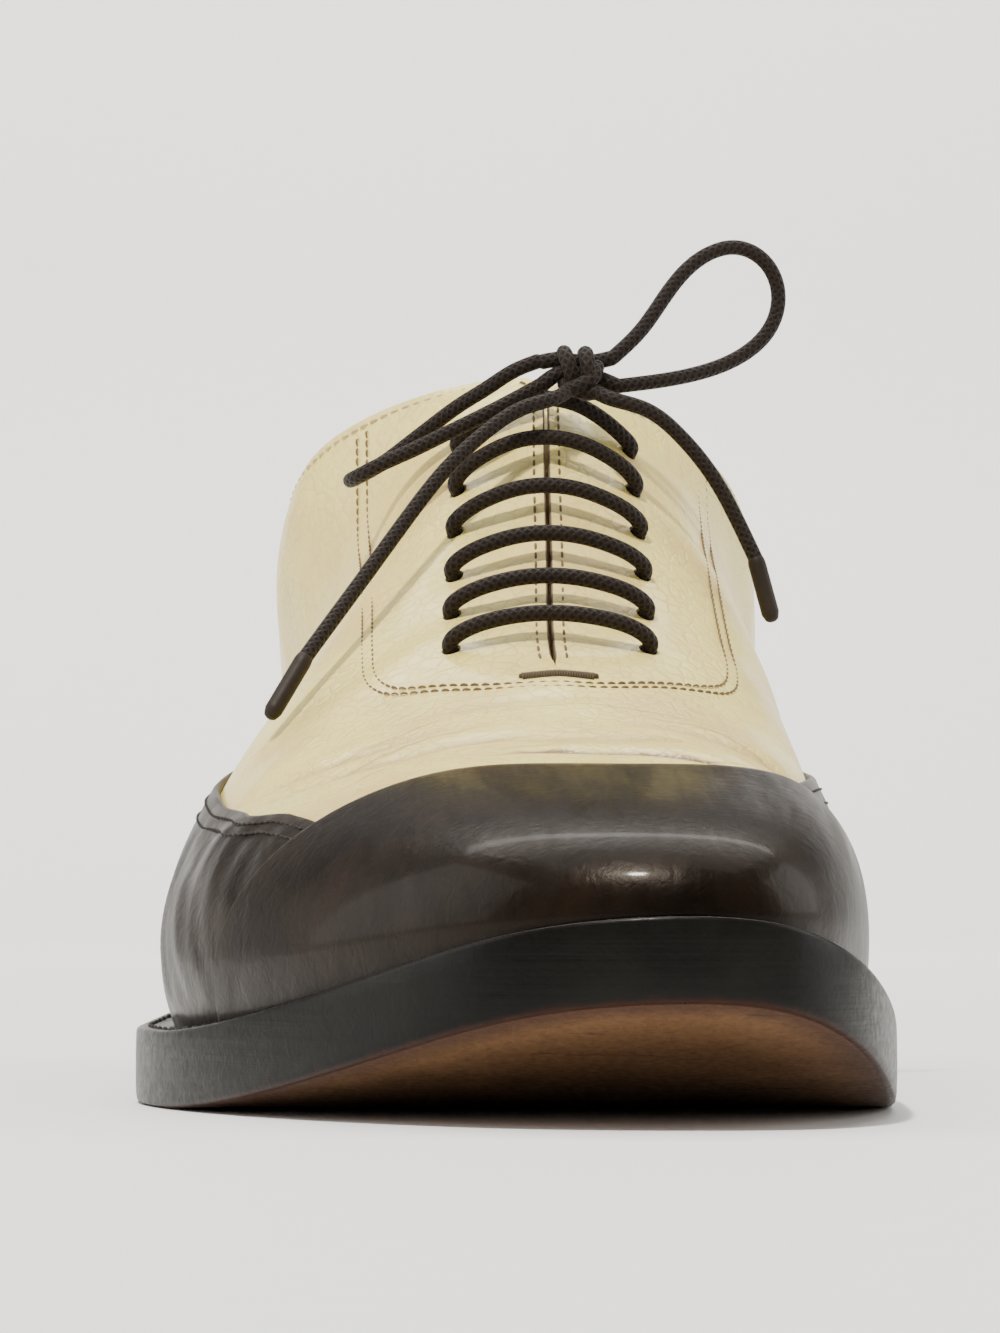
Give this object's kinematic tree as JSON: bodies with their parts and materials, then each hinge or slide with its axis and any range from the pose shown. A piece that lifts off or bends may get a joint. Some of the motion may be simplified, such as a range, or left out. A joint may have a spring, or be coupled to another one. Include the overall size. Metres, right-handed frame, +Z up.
{
  "type": "spectator shoe",
  "caption": "Right-foot spectator oxford in cream leather with dark brown toe cap and side foxing, leather sole and stacked heel, tied with round dark laces.",
  "frame": {"origin": "middle of the flat face under the heel, on the surface the shoe stands on", "axes": "+X medial side, -Y toe, +Y back of the heel, +Z up"},
  "size_m": [0.1008, 0.3021, 0.1238],
  "materials": {
    "cream_leather": "polished, faintly crackled",
    "brown_leather": "polished, worn",
    "sole_edge": "waxed edge",
    "heel_rubber": "matte",
    "insole_leather": "smooth, unfinished",
    "lace_cotton": "waxed braid",
    "aglet_plastic": "glossy"
  },
  "bodies": {
    "root": {"outsole": "sole_edge", "heel_stack": "sole_edge", "heel_top_piece": "heel_rubber", "insole": "insole_leather", "upper": "cream_leather", "toe_cap": "brown_leather", "foxing_lateral": "brown_leather", "foxing_medial": "brown_leather", "tongue": "cream_leather", "lace_bar_1": "lace_cotton", "lace_bar_2": "lace_cotton", "lace_bar_3": "lace_cotton", "lace_bar_4": "lace_cotton", "lace_bar_5": "lace_cotton", "lace_bar_6": "lace_cotton", "lace_knot": "lace_cotton", "lace_loop_right": "lace_cotton", "lace_loop_left": "lace_cotton", "lace_end_left": "lace_cotton", "lace_end_right": "lace_cotton", "aglet_left": "aglet_plastic", "aglet_right": "aglet_plastic"}
  },
  "joints": []
}
